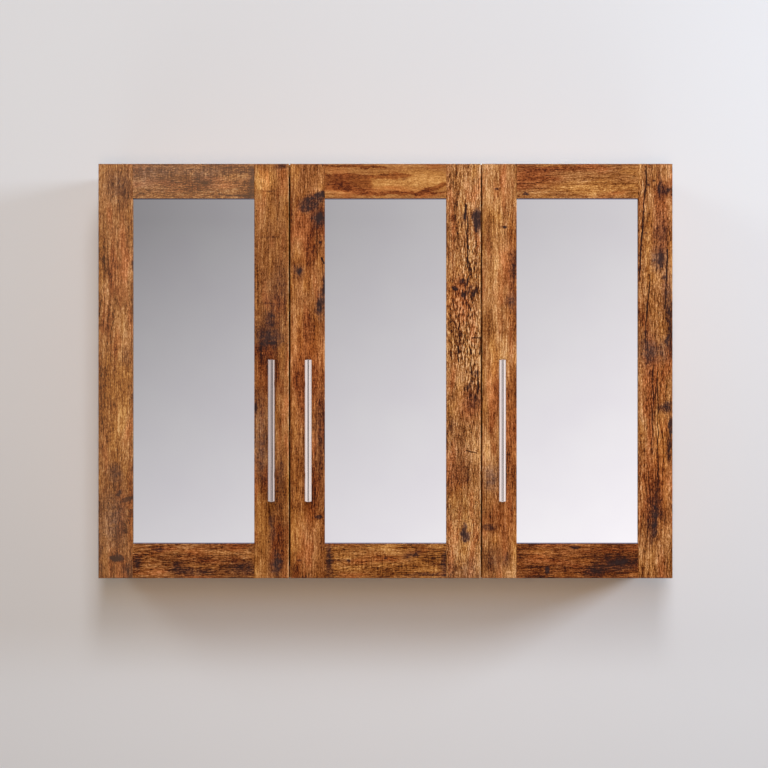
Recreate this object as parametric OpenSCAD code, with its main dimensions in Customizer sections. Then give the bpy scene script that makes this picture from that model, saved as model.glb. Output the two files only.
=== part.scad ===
// Wall-hung mirror cabinet with three framed mirror doors.
// Millimetres. The origin is midway between the two wall fixing holes, on the wall plane.
// X runs to the right seen from the room, Y into the wall, Z up.

/* [Cabinet] */
// Overall width
cabinet_w = 800; // [660:10:1000]
// Overall height
cabinet_h = 578; // [556:2:720]
// Depth of the carcass, from the wall to its front edges
carcass_d = 150; // [140:5:200]
// Thickness of the carcass boards and of the shelves
board_t = 16; // [15:1:19]
// Thickness of the back panel
back_t = 3; // [3:0.5:5]
// How deep the back panel sits in its grooves
back_groove = 6; // [4:0.5:8]

/* [Hanging] */
// Thickness of the hanging rail behind the back panel
hang_rail_t = 16; // [12:1:19]
// Height of the hanging rail
hang_rail_h = 60; // [50:5:80]
// Distance between the two wall fixing holes
fixing_spacing = 600; // [400:10:620]
// Radius of the wall fixing holes
fixing_r = 3; // [2.5:0.5:4]

/* [Doors] */
// Thickness of the door frames
door_t = 18; // [18:1:22]
// Space between the carcass and the closed doors
door_gap = 3; // [3:0.5:5]
// Space between two neighbouring doors
door_clear = 2; // [2:0.5:4]
// How far the doors stay back from the cabinet's outline
door_reveal = 1; // [0:0.5:3]
// Width of the upright stiles
stile_w = 48; // [46:1:60]
// Width of the rails across
rail_w = 48; // [36:1:60]
// Rounding of the outer edges of a door
edge_r = 2; // [1.5:0.25:2.5]
// Rounding of the front edges round the mirror
inner_r = 1; // [0.5:0.25:1.5]

/* [Mirrors] */
// How far the mirror lies behind the front of its frame
mirror_recess = 4; // [3:0.5:5]
// Thickness of the mirror glass
mirror_t = 4; // [3:0.5:5]
// Thickness of the board behind the mirror
backing_t = 3; // [2.5:0.5:4]
// Depth of the groove that holds the mirror
mirror_groove = 6; // [4:0.5:6.5]
// Play of the mirror in its groove, at each edge
mirror_play = 0.3; // [0.2:0.1:1]

/* [Handles] */
// Length of the handle bar
handle_l = 195; // [160:5:260]
// Radius of the handle bar
handle_r = 5; // [4:0.5:7]
// Distance between the two handle posts
post_spacing = 128; // [96:32:128]
// Radius of the handle posts
post_r = 4; // [3.5:0.5:5]
// Bevel at the ends of the handle bar
handle_bevel = 0.6; // [0.2:0.1:1.5]
// Distance from the door front to the middle of the bar
handle_out = 30; // [25:1:40]
// How far in from the free edge each handle stands, on the left, middle and right door
handle_ins = [22, 26, 26];
// How far the middle of the handle lies below the middle of the door
handle_drop = 82; // [0:1:120]
// Radius of the handle screws
handle_screw_r = 2; // [1.5:0.5:2.5]
// How far a handle screw goes into its post
handle_screw_bite = 10; // [6:1:14]

/* [Shelves] */
// Height of the upper shelves above the bottom of the cabinet
shelf_upper_z = 372; // [330:1:375]
// Height of the lower shelves above the bottom of the cabinet
shelf_lower_z = 190; // [188:1:220]
// How far the shelves stay back from the carcass front
shelf_setback = 12; // [6:1:30]
// Gap at each end and at the back of a shelf
shelf_play = 1; // [0.8:0.1:2]
// Radius of the shelf pins
shelf_pin_r = 2.5; // [2:0.5:3]
// How far a shelf pin goes into its board
shelf_pin_l = 7; // [5:0.5:7]
// Distance from one pin hole to the next
pin_pitch = 32; // [25:1:32]
// Number of pin holes in a row
pin_holes = 5; // [3:2:5]
// Distance from the carcass front to the front rows of pin holes
pin_front = 37; // [30:1:45]
// Distance from the carcass front to the rear rows of pin holes
pin_rear = 101; // [85:1:105]

/* [Hinges] */
// Distance from the ends of a door to its hinges
hinge_inset = 90; // [80:1:92]
// Radius of a hinge cup
cup_r = 17.5; // [17:0.1:17.5]
// Distance from the door edge to the middle of a cup
cup_edge = 22; // [21.5:0.1:22.5]
// Wood left in front of a cup
cup_skin = 3.6; // [3:0.1:3.8]
// Wall of a cup
cup_wall = 0.5; // [0.4:0.1:0.8]
// Distance between the two screws of a cup
cup_screw_spacing = 48; // [44:1:52]
// Radius of a hinge pin
pivot_pin_r = 1.3; // [1:0.1:1.4]
// Radius of the eye of a hinge arm round its pin
arm_eye_r = 2; // [1.9:0.05:2.1]
// Thickness of the hinge arm
arm_t = 2.5; // [2:0.1:2.6]
// Distance from the carcass front to the screws of a mounting plate
plate_screw_y = 37; // [35:1:45]
// Distance between the two screws of a mounting plate
plate_screw_spacing = 32; // [30:1:36]
// How far the hinge arms pass the back of an open door
arm_past = 2.5; // [2.3:0.1:3]
// How far the hinge arms reach behind the carcass front
arm_length = 62; // [61:1:68]
// Where the bend of a hinge arm starts behind the carcass front
arm_bend_from = 2; // [1:0.5:3]
// Where that bend ends
arm_bend_to = 12; // [9:0.5:12.5]

/* [Fittings] */
// Radius of the cam locks
cam_r = 7.5; // [6:0.5:8]
// Depth of the cam locks
cam_depth = 12.5; // [11:0.5:12.5]
// Distance from the end of a board to its cam locks
cam_inset = 34; // [24:1:40]
// Distance from the carcass front to the front cam locks
cam_front = 30; // [24:1:40]
// Distance from the carcass front to the rear cam locks
cam_rear = 110; // [100:1:115]
// Radius of the cam bolts
bolt_r = 3.5; // [3:0.5:4]
// Radius of the dowels
dowel_r = 4; // [3:0.5:5]
// Length of the dowels
dowel_l = 30; // [24:1:35]
// Distance from the carcass front to the front dowels
dowel_front = 58; // [52:1:64]
// Distance from the carcass front to the rear dowels
dowel_rear = 84; // [76:1:90]
// Distance between the two dowels at an end of the hanging rail
rail_dowel_spacing = 36; // [24:1:38]
// How deep dowels and cam bolts go into the upright boards
upright_bite = 10; // [8:0.5:11]
// Length of the partition screws
partition_screw_l = 50; // [40:1:60]
// Radius of the partition screws
partition_screw_r = 2.5; // [2:0.5:3]
// Distance from the carcass front to the front partition screws
partition_screw_front = 30; // [24:1:40]
// Distance from the carcass front to the rear partition screws
partition_screw_rear = 105; // [90:1:110]
// Radius of the door bumpers
bumper_r = 4; // [3:0.5:6]

/* [Hidden] */
$fn = 48;
// Play of screws, dowels and locks in their holes
fit = 0.05;
// Play between fixed pieces that slide together
slip = 0.1;
// Play between pieces that turn past each other
run = 0.3;
// How far a cut runs past a face
over = 1;

// Heights, measured from the line through the wall fixing holes
z_top = hang_rail_h / 2 + board_t;
z_bottom = z_top - cabinet_h;
inner_top = z_top - board_t;
inner_bottom = z_bottom + board_t;

// Depths, measured from the wall
front_y = -carcass_d;
door_back_y = front_y - door_gap;
door_front_y = door_back_y - door_t;
back_rear_y = -hang_rail_t;
back_front_y = back_rear_y - back_t;
groove_front_y = back_front_y - 2 * slip;

// Widths
side_inner = cabinet_w / 2 - board_t;
door_w = (cabinet_w - 2 * door_reveal - 2 * door_clear) / 3;
door_h = cabinet_h - 2 * door_reveal;
door_bottom_z = z_bottom + door_reveal;
partition_x = door_w / 2 + door_clear / 2;
partition_left = partition_x - board_t / 2;
partition_right = partition_x + board_t / 2;

// Doors: left, middle, right. The edge that carries the hinges, and which way the door runs from it
door_edge = [-cabinet_w / 2 + door_reveal, door_w / 2, cabinet_w / 2 - door_reveal];
door_dir = [1, -1, -1];
// Distance from that edge to the inner face of the board that the hinges are screwed to
side_overlay = board_t - door_reveal;
partition_overlay = board_t / 2 - door_clear / 2;
overlay = [side_overlay, partition_overlay, side_overlay];
hinge_z = [door_bottom_z + hinge_inset, door_bottom_z + door_h - hinge_inset];

// Groove round the mirror
groove_w = mirror_t + backing_t + 2 * slip;
mirror_lap = mirror_groove - mirror_play;

// Hinge pin, measured from the door edge and from the carcass front
cup_drill = door_t - cup_skin;
cup_floor = cup_drill - cup_wall - slip;
pivot_wall = 4.2;
pivot_edge = cup_edge - cup_r + cup_wall + pivot_wall;
pivot_front = door_gap + cup_floor - arm_eye_r - run;
pivot_y = front_y - pivot_front;
// From the hinge pin to the arm's upright limb, past the back of the door when it is open
arm_reach = pivot_front - door_gap + arm_past;
arm_tail = pivot_front + arm_length;
arm_bend_start = pivot_front + arm_bend_from;
arm_bend_end = pivot_front + arm_bend_to;
neck_half = 4;
arm_half = 6;
channel_half = 8.5;
channel_t = 1.5;
plate_base_t = 3;
plate_wing = 14;
plate_half = channel_half - channel_t - slip;
plate_front = 13;
plate_rear = 60;
ear_near = neck_half + 2 * slip;
ear_far = ear_near + 2;
ear_half = 3.2;
flange_t = 1.2;
flange_half = 32;
flange_rim = 19;
cup_screw_back = 6;
cup_screw_r = 1.75;
cup_screw_l = 12;
plate_screw_r = 2;
plate_screw_l = 13;
arm_screw_r = 2;
arm_screw_y = [18, 50];
head_h = 2.2;

// Handle
handle_z = door_h / 2 - handle_drop;
handle_xs = [for (inset = handle_ins) door_w - inset];
post_zs = [handle_z - post_spacing / 2, handle_z + post_spacing / 2];
handle_head_r = 2 * handle_screw_r;
handle_head_h = 2.6;
counterbore_depth = 3;

// Places of the fittings along the depth, from the front
cam_ys = [front_y + cam_front, front_y + cam_rear];
dowel_ys = [front_y + dowel_front, front_y + dowel_rear];
screw_ys = [front_y + partition_screw_front, front_y + partition_screw_rear];
rail_dowel_zs = [-rail_dowel_spacing / 2, rail_dowel_spacing / 2];
shelf_zs = [z_bottom + shelf_upper_z, z_bottom + shelf_lower_z];
pin_ys = [front_y + pin_front, front_y + pin_rear];
collar_r = shelf_pin_r + 1.5;
collar_t = shelf_play - 0.2;
bumper_inset = 20;

// Colours
wood = "sienna";
dark_wood = "saddlebrown";
steel = "silver";
zinc = "gray";

// A box between two corners
module slab(low, high) {
  translate(low) cube(high - low);
}

// A 2D square corner at the origin that a round edge of radius r takes away
module corner_waste(r) {
  difference() {
    translate([-over, -over]) square(r + over);
    translate([r, r]) circle(r);
  }
}

// A rectangle whose corners are eased: near left, near right, far right, far left
module eased_rect(w, d, r) {
  difference() {
    square([w, d]);
    if (r[0] > 0) corner_waste(r[0]);
    if (r[1] > 0) translate([w, 0]) mirror([1, 0]) corner_waste(r[1]);
    if (r[2] > 0) translate([w, d]) rotate(180) corner_waste(r[2]);
    if (r[3] > 0) translate([0, d]) mirror([0, 1]) corner_waste(r[3]);
  }
}

// A round hole or rod along X, Y or Z from a start point
module rod_x(start, r, l) {
  translate(start) rotate([0, 90, 0]) cylinder(r = r, h = l);
}

module rod_y(start, r, l) {
  translate(start) rotate([-90, 0, 0]) cylinder(r = r, h = l);
}

module rod_z(start, r, l) {
  translate(start) cylinder(r = r, h = l);
}

// Carcass joints: the four places where the top or bottom board meets a side, as [side, height]
joint_sides = [-1, 1];
joint_zs = [z_top - board_t / 2, z_bottom + board_t / 2];
// A cam lock opens towards the compartment
cam_face_zs = [inner_top, inner_bottom];
cam_ups = [1, -1];

module cam_holes(k) {
  for (s = joint_sides, y = cam_ys) {
    base = cam_ups[k] > 0 ? cam_face_zs[k] - over : cam_face_zs[k] - cam_depth - slip;
    rod_z([s * (side_inner - cam_inset), y, base], cam_r + fit, cam_depth + slip + over);
    rod_x([s > 0 ? side_inner - cam_inset : -side_inner - over, y, joint_zs[k]], bolt_r + fit, cam_inset + over);
  }
}

module dowel_holes(k) {
  depth = dowel_l - upright_bite + slip;
  for (s = joint_sides, y = dowel_ys)
    rod_x([s > 0 ? side_inner - depth : -side_inner - over, y, joint_zs[k]], dowel_r + fit, depth + over);
}

// Groove for the back panel, cut into the inner face of the boards round it
module back_groove_cut() {
  slab([-side_inner - back_groove, groove_front_y, inner_bottom - back_groove],
       [side_inner + back_groove, back_rear_y, inner_top + back_groove]);
}

// Rows of pin holes in an upright board, from the face at x towards dir
module pin_rows(x, dir) {
  reach = shelf_pin_l + slip;
  half = (pin_holes - 1) / 2;
  for (z = shelf_zs, y = pin_ys, k = [-half : half])
    rod_x([dir > 0 ? x - over : x - reach, y, z - shelf_pin_r + k * pin_pitch], shelf_pin_r + fit, reach + over);
}

// Holes for the screws of the mounting plates, from the face at x towards dir
module plate_screw_holes(x, dir) {
  depth = plate_screw_l - plate_base_t + slip;
  for (z = hinge_z, s = [-1, 1])
    rod_x([dir > 0 ? x - over : x - depth, front_y + plate_screw_y, z + s * plate_screw_spacing / 2],
          plate_screw_r + fit, depth + over);
}

// A side panel, built as the left one
module side_panel() {
  difference() {
    slab([-cabinet_w / 2, front_y, z_bottom], [-side_inner, 0, z_top]);
    back_groove_cut();
    pin_rows(-side_inner, -1);
    plate_screw_holes(-side_inner, -1);
    for (z = joint_zs, y = concat(cam_ys, dowel_ys)) {
      r = search(y, cam_ys) == [] ? dowel_r : bolt_r;
      rod_x([-side_inner - upright_bite - slip, y, z], r + fit, upright_bite + slip + over);
    }
    for (z = rail_dowel_zs)
      rod_x([-side_inner - upright_bite - slip, -hang_rail_t / 2, z], dowel_r + fit, upright_bite + slip + over);
  }
}

module left_side_panel() { color(dark_wood) side_panel(); }

module right_side_panel() { color(dark_wood) mirror([1, 0, 0]) side_panel(); }

module level_panel(k, low_z, high_z) {
  difference() {
    slab([-side_inner, front_y, low_z], [side_inner, 0, high_z]);
    back_groove_cut();
    cam_holes(k);
    dowel_holes(k);
    for (y = screw_ys) {
      rod_z([partition_x, y, low_z - over], partition_screw_r + fit, board_t + 2 * over);
      if (k == 0) translate([partition_x, y, high_z]) screw_sink(partition_screw_r);
      else translate([partition_x, y, low_z]) mirror([0, 0, 1]) screw_sink(partition_screw_r);
    }
  }
}

module top_panel() { color(dark_wood) level_panel(0, inner_top, z_top); }

module bottom_panel() { color(dark_wood) level_panel(1, z_bottom, inner_bottom); }

module partition_panel() {
  bite = partition_screw_l - board_t + slip;
  color(dark_wood) difference() {
    slab([partition_left, front_y, inner_bottom], [partition_right, back_front_y - slip, inner_top]);
    pin_rows(partition_left, 1);
    pin_rows(partition_right, -1);
    plate_screw_holes(partition_left, 1);
    for (y = screw_ys) {
      rod_z([partition_x, y, inner_top - bite], partition_screw_r + fit, bite + over);
      rod_z([partition_x, y, inner_bottom - over], partition_screw_r + fit, bite + over);
    }
  }
}

module back_panel() {
  lap = back_groove - 2 * slip;
  color("wheat") difference() {
    slab([-side_inner - lap, back_front_y, inner_bottom - lap], [side_inner + lap, back_rear_y, inner_top + lap]);
    for (s = [-1, 1])
      rod_y([s * fixing_spacing / 2, back_front_y - over, 0], fixing_r, back_t + 2 * over);
  }
}

module hanging_rail() {
  depth = dowel_l - upright_bite + slip;
  color(dark_wood) difference() {
    slab([-side_inner, -hang_rail_t, -hang_rail_h / 2], [side_inner, 0, hang_rail_h / 2]);
    for (s = [-1, 1]) {
      rod_y([s * fixing_spacing / 2, -hang_rail_t - over, 0], fixing_r, hang_rail_t + 2 * over);
      for (z = rail_dowel_zs)
        rod_x([s > 0 ? side_inner - depth : -side_inner - over, -hang_rail_t / 2, z], dowel_r + fit, depth + over);
    }
  }
}

module shelf(left, right, z) {
  color(wood) slab([left + shelf_play, front_y + shelf_setback, z],
                   [right - shelf_play, back_front_y - shelf_play, z + board_t]);
}

module wide_shelf_upper() { shelf(-side_inner, partition_left, shelf_zs[0]); }

module wide_shelf_lower() { shelf(-side_inner, partition_left, shelf_zs[1]); }

module narrow_shelf_upper() { shelf(partition_right, side_inner, shelf_zs[0]); }

module narrow_shelf_lower() { shelf(partition_right, side_inner, shelf_zs[1]); }

// One pin in the face at x, its stub towards dir
module shelf_pin(x, y, z, dir) {
  translate([x, y, z - shelf_pin_r]) rotate([0, dir * 90, 0]) {
    translate([0, 0, -shelf_pin_l]) cylinder(r = shelf_pin_r, h = 2 * shelf_pin_l);
    cylinder(r = collar_r, h = collar_t);
  }
}

module shelf_pins() {
  color(steel) for (y = pin_ys, z = shelf_zs) {
    shelf_pin(-side_inner, y, z, 1);
    shelf_pin(partition_left, y, z, -1);
    shelf_pin(partition_right, y, z, 1);
    shelf_pin(side_inner, y, z, -1);
  }
}

module cam_locks() {
  color(zinc) for (k = [0, 1], s = joint_sides, y = cam_ys) {
    base = cam_ups[k] > 0 ? cam_face_zs[k] : cam_face_zs[k] - cam_depth;
    slot_z = cam_face_zs[k] - over;
    difference() {
      rod_z([s * (side_inner - cam_inset), y, base], cam_r, cam_depth);
      rod_x([s > 0 ? side_inner - cam_inset : -side_inner - over, y, joint_zs[k]], bolt_r + fit, cam_inset + over);
      translate([s * (side_inner - cam_inset) - 5, y - 0.8, slot_z]) cube([10, 1.6, 2 * over]);
      translate([s * (side_inner - cam_inset) - 0.8, y - 5, slot_z]) cube([1.6, 10, 2 * over]);
    }
  }
}

module cam_bolts() {
  color(zinc) for (k = [0, 1], s = joint_sides, y = cam_ys) {
    start = s > 0 ? side_inner - cam_inset : -side_inner - upright_bite;
    rod_x([start, y, joint_zs[k]], bolt_r, cam_inset + upright_bite);
  }
}

module dowels() {
  depth = dowel_l - upright_bite;
  color("burlywood") for (s = joint_sides) {
    start = s > 0 ? side_inner - depth : -side_inner - upright_bite;
    for (z = joint_zs, y = dowel_ys) rod_x([start, y, z], dowel_r, dowel_l);
    for (z = rail_dowel_zs) rod_x([start, -hang_rail_t / 2, z], dowel_r, dowel_l);
  }
}

// A countersunk screw, its head's face at the origin and its tip down -Z
module countersunk_screw(r, l) {
  difference() {
    union() {
      translate([0, 0, -l]) cylinder(r = r, h = l - r);
      translate([0, 0, -r]) cylinder(r1 = r, r2 = 2 * r, h = r);
    }
    drive_cross(1.6 * r);
  }
}

// The sink for that screw's head in a face at the origin
module screw_sink(r) {
  translate([0, 0, -r]) cylinder(r1 = r + fit, r2 = 2 * r + fit, h = r);
  cylinder(r = 2 * r + fit, h = over);
}

// The cross recess of a screw head at the origin
module drive_cross(size) {
  for (a = [0, 90]) rotate(a) translate([-size / 2, -size / 8, -size / 3]) cube([size, size / 4, size]);
}

// A pan-head screw, the underside of its head at the origin and its tip down -Z
module pan_screw(r, l, head_r, head_h) {
  difference() {
    union() {
      translate([0, 0, -l]) cylinder(r = r, h = l);
      cylinder(r = head_r, h = head_h);
    }
    translate([0, 0, head_h]) drive_cross(1.1 * head_r);
  }
}

module partition_screws() {
  color(zinc) for (y = screw_ys) {
    translate([partition_x, y, z_top]) countersunk_screw(partition_screw_r, partition_screw_l);
    translate([partition_x, y, z_bottom]) mirror([0, 0, 1])
      countersunk_screw(partition_screw_r, partition_screw_l);
  }
}

// Soft stops on the front edges of the top and bottom boards, behind the free corners of the doors
module door_bumpers() {
  color("gainsboro") for (k = [0 : 2], z = joint_zs)
    rod_y([door_edge[k] + door_dir[k] * (door_w - bumper_inset), door_back_y + run, z], bumper_r, door_gap - run);
}

// Puts hinge pieces of door k in place: X from the hinge edge along the door, Y from the hinge pin
module at_hinges(k) {
  for (z = hinge_z)
    translate([door_edge[k], pivot_y, z]) mirror([door_dir[k] < 0 ? 1 : 0, 0, 0]) children();
}

// An arm: an eye on the pin, a foot in the cup, a limb out of the cup and a channel over the plate
module hinge_arm(crank) {
  foot = pivot_edge + arm_reach;
  top = foot + arm_t;
  difference() {
    union() {
      translate([pivot_edge, 0, -neck_half]) cylinder(r = arm_eye_r, h = 2 * neck_half);
      slab([pivot_edge, 1 - arm_t, -neck_half], [pivot_edge + arm_eye_r + 5, 1, neck_half]);
      slab([pivot_edge + arm_eye_r + 4, 1 - arm_t, -arm_half], [top, 1, arm_half]);
      translate([0, 0, -arm_half]) linear_extrude(2 * arm_half)
        polygon([[foot, 1 - arm_t], [top, 1 - arm_t], [top, arm_bend_start], [top - crank, arm_bend_end],
                 [top - crank, arm_tail], [foot - crank, arm_tail], [foot - crank, arm_bend_end],
                 [foot, arm_bend_start]]);
      for (s = [-1, 1])
        translate([0, 0, s * (channel_half - channel_t / 2) - channel_t / 2])
          slab([foot - crank - 4.5, arm_bend_end, 0], [top - crank, arm_tail, channel_t]);
      slab([foot - crank, arm_bend_end, -channel_half + channel_t / 2],
           [top - crank, arm_tail, channel_half - channel_t / 2]);
    }
    translate([pivot_edge, 0, -neck_half - over]) cylinder(r = pivot_pin_r + fit, h = 2 * (neck_half + over));
    for (y = arm_screw_y)
      rod_x([foot - crank - over, pivot_front + y, 0], arm_screw_r + fit, arm_t + 2 * over);
  }
}

module hinge_arms() {
  color(steel) for (k = [0 : 2]) at_hinges(k) hinge_arm(side_overlay - overlay[k]);
}

module hinge_pins() {
  color(zinc) for (k = [0 : 2]) at_hinges(k)
    translate([pivot_edge, 0, -ear_far]) cylinder(r = pivot_pin_r, h = 2 * ear_far);
}

// A mounting plate: two wings on the board and a block under the arm
module hinge_plate(face, block_top) {
  y = pivot_front + plate_screw_y;
  difference() {
    union() {
      slab([face, y - plate_wing / 2, -plate_screw_spacing / 2 - 8],
           [face + plate_base_t, y + plate_wing / 2, plate_screw_spacing / 2 + 8]);
      slab([face, pivot_front + plate_front, -plate_half], [block_top, pivot_front + plate_rear, plate_half]);
    }
    for (s = [-1, 1])
      translate([face + plate_base_t, y, s * plate_screw_spacing / 2]) rotate([0, 90, 0]) {
        translate([0, 0, -plate_base_t - over]) cylinder(r = plate_screw_r + fit, h = plate_base_t + 2 * over);
        screw_sink(plate_screw_r);
      }
    for (ys = arm_screw_y)
      rod_x([face + plate_base_t, pivot_front + ys, 0], arm_screw_r + fit, block_top - face);
  }
}

module hinge_plates() {
  color(steel) for (k = [0 : 2]) at_hinges(k)
    hinge_plate(overlay[k], pivot_edge + arm_reach - side_overlay + overlay[k]);
}

module hinge_plate_screws() {
  color(zinc) for (k = [0 : 2]) at_hinges(k) for (s = [-1, 1])
    translate([overlay[k] + plate_base_t, pivot_front + plate_screw_y, s * plate_screw_spacing / 2])
      rotate([0, 90, 0]) countersunk_screw(plate_screw_r, plate_screw_l);
}

module hinge_arm_screws() {
  arm_top = pivot_edge + arm_reach + arm_t;
  bite = arm_top - side_overlay - plate_base_t - slip;
  color(zinc) for (k = [0 : 2]) at_hinges(k) for (y = arm_screw_y)
    translate([arm_top - side_overlay + overlay[k], pivot_front + y, 0])
      rotate([0, 90, 0]) pan_screw(arm_screw_r, bite, 1.9 * arm_screw_r, head_h);
}

// Puts pieces of door k in place: X from the hinge edge, Y from the front face, Z from the bottom
module at_door(k) {
  translate([door_edge[k], door_front_y, door_bottom_z]) mirror([door_dir[k] < 0 ? 1 : 0, 0, 0]) children();
}

// A stile with its outer edge at X 0 and its groove towards the mirror
module stile() {
  difference() {
    intersection() {
      linear_extrude(door_h) eased_rect(stile_w, door_t, [edge_r, inner_r, 0, edge_r]);
      rotate([90, 0, 90]) linear_extrude(stile_w) eased_rect(door_t, door_h, [edge_r, edge_r, edge_r, edge_r]);
    }
    slab([stile_w - mirror_groove, mirror_recess, -over], [stile_w + over, mirror_recess + groove_w, door_h + over]);
  }
}

module hinge_stile(k) {
  color(wood) at_door(k) difference() {
    stile();
    for (z = hinge_z) {
      rod_y([cup_edge, door_t - cup_drill, z - door_bottom_z], cup_r + slip, cup_drill + over);
      for (s = [-1, 1])
        rod_y([cup_edge + cup_screw_back, door_t - cup_screw_l, z - door_bottom_z + s * cup_screw_spacing / 2],
              cup_screw_r + fit, cup_screw_l + over);
    }
  }
}

module handle_stile(k) {
  color(wood) at_door(k) difference() {
    translate([door_w, 0, 0]) mirror([1, 0, 0]) stile();
    for (z = post_zs) {
      rod_y([handle_xs[k], -over, z], handle_screw_r + slip, door_t + 2 * over);
      rod_y([handle_xs[k], door_t - counterbore_depth, z], handle_head_r + slip, counterbore_depth + over);
    }
  }
}

// A rail with its outer edge at the top and a tongue at each end
module rail() {
  l = door_w - 2 * stile_w;
  difference() {
    translate([stile_w, 0, 0]) rotate([90, 0, 90]) linear_extrude(l)
      eased_rect(door_t, rail_w, [inner_r, 0, edge_r, edge_r]);
    slab([stile_w - over, mirror_recess, -over], [stile_w + l + over, mirror_recess + groove_w, mirror_groove]);
  }
  for (x = [stile_w - mirror_lap, door_w - stile_w])
    slab([x, mirror_recess + slip, mirror_groove], [x + mirror_lap, mirror_recess + groove_w - slip, rail_w]);
}

module top_rail(k) {
  color(wood) at_door(k) translate([0, 0, door_h - rail_w]) rail();
}

module bottom_rail(k) {
  color(wood) at_door(k) translate([0, 0, rail_w]) mirror([0, 0, 1]) rail();
}

// A sheet in the groove, from one depth behind the front face to another
module sheet(k, near, far) {
  at_door(k) slab([stile_w - mirror_lap, near, rail_w - mirror_lap],
                  [door_w - stile_w + mirror_lap, far, door_h - rail_w + mirror_lap]);
}

module mirror_glass(k) { color("lightsteelblue") sheet(k, mirror_recess + slip, mirror_recess + slip + mirror_t); }

module backing_board(k) {
  near = mirror_recess + slip + mirror_t;
  color("wheat") sheet(k, near, near + backing_t);
}

module handle_bar(k) {
  color(steel) at_door(k) translate([handle_xs[k], -handle_out, handle_z]) {
    translate([0, 0, handle_bevel - handle_l / 2]) cylinder(r = handle_r, h = handle_l - 2 * handle_bevel);
    for (m = [0, 1]) mirror([0, 0, m]) translate([0, 0, handle_l / 2 - handle_bevel])
      cylinder(r1 = handle_r, r2 = handle_r - handle_bevel, h = handle_bevel);
  }
}

module handle_posts(k) {
  x = handle_xs[k];
  color(steel) at_door(k) for (z = post_zs) difference() {
    rod_y([x, -handle_out, z], post_r, handle_out);
    rod_z([x, -handle_out, z - post_r - over], handle_r, 2 * (post_r + over));
    rod_y([x, -handle_screw_bite - slip, z], handle_screw_r + fit, handle_screw_bite + slip + over);
  }
}

module handle_screws(k) {
  under_head = door_t - counterbore_depth;
  color(zinc) at_door(k) for (z = post_zs)
    translate([handle_xs[k], under_head, z]) rotate([-90, 0, 0])
      pan_screw(handle_screw_r, under_head + handle_screw_bite, handle_head_r, handle_head_h);
}

// A cup with its flange on the back of the door and two ears that hold the hinge pin
module hinge_cup() {
  back = pivot_front - door_gap;
  inner_r = cup_r - cup_wall;
  floor_y = back - cup_floor;
  difference() {
    union() {
      rod_y([cup_edge, floor_y - cup_wall, 0], cup_r, cup_floor + cup_wall);
      intersection() {
        union() {
          rod_y([cup_edge, back, 0], flange_rim, flange_t);
          slab([cup_edge - 3, back, -flange_half], [cup_edge + 11, back + flange_t, flange_half]);
        }
        slab([cup_edge - cup_r - 0.5, back - over, -flange_half], [cup_edge + flange_rim, back + 2, flange_half]);
      }
    }
    rod_y([cup_edge, floor_y, 0], inner_r, cup_floor + flange_t + over);
    for (s = [-1, 1])
      rod_y([cup_edge + cup_screw_back, back - over, s * cup_screw_spacing / 2], cup_screw_r + fit, flange_t + 2 * over);
  }
  for (s = [-1, 1]) difference() {
    intersection() {
      slab([cup_edge - cup_r, floor_y - cup_wall / 2, s > 0 ? ear_near : -ear_far],
           [pivot_edge + ear_half, ear_half, s > 0 ? ear_far : -ear_near]);
      rod_y([cup_edge, floor_y - cup_wall, 0], cup_r - cup_wall / 2, cup_floor);
    }
    translate([pivot_edge, 0, -ear_far - over]) cylinder(r = pivot_pin_r + fit, h = 2 * (ear_far + over));
  }
}

module hinge_cups(k) { color(steel) at_hinges(k) hinge_cup(); }

module cup_screws(k) {
  back = pivot_front - door_gap;
  color(zinc) at_hinges(k) for (s = [-1, 1])
    translate([cup_edge + cup_screw_back, back + flange_t, s * cup_screw_spacing / 2]) rotate([-90, 0, 0])
      pan_screw(cup_screw_r, cup_screw_l, 1.9 * cup_screw_r, 1.4);
}

module left_hinge_stile() { hinge_stile(0); }
module left_handle_stile() { handle_stile(0); }
module left_top_rail() { top_rail(0); }
module left_bottom_rail() { bottom_rail(0); }
module left_mirror() { mirror_glass(0); }
module left_backing_board() { backing_board(0); }
module left_handle_bar() { handle_bar(0); }
module left_handle_posts() { handle_posts(0); }
module left_handle_screws() { handle_screws(0); }
module left_hinge_cups() { hinge_cups(0); }
module left_cup_screws() { cup_screws(0); }

module middle_hinge_stile() { hinge_stile(1); }
module middle_handle_stile() { handle_stile(1); }
module middle_top_rail() { top_rail(1); }
module middle_bottom_rail() { bottom_rail(1); }
module middle_mirror() { mirror_glass(1); }
module middle_backing_board() { backing_board(1); }
module middle_handle_bar() { handle_bar(1); }
module middle_handle_posts() { handle_posts(1); }
module middle_handle_screws() { handle_screws(1); }
module middle_hinge_cups() { hinge_cups(1); }
module middle_cup_screws() { cup_screws(1); }

module right_hinge_stile() { hinge_stile(2); }
module right_handle_stile() { handle_stile(2); }
module right_top_rail() { top_rail(2); }
module right_bottom_rail() { bottom_rail(2); }
module right_mirror() { mirror_glass(2); }
module right_backing_board() { backing_board(2); }
module right_handle_bar() { handle_bar(2); }
module right_handle_posts() { handle_posts(2); }
module right_handle_screws() { handle_screws(2); }
module right_hinge_cups() { hinge_cups(2); }
module right_cup_screws() { cup_screws(2); }

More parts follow.
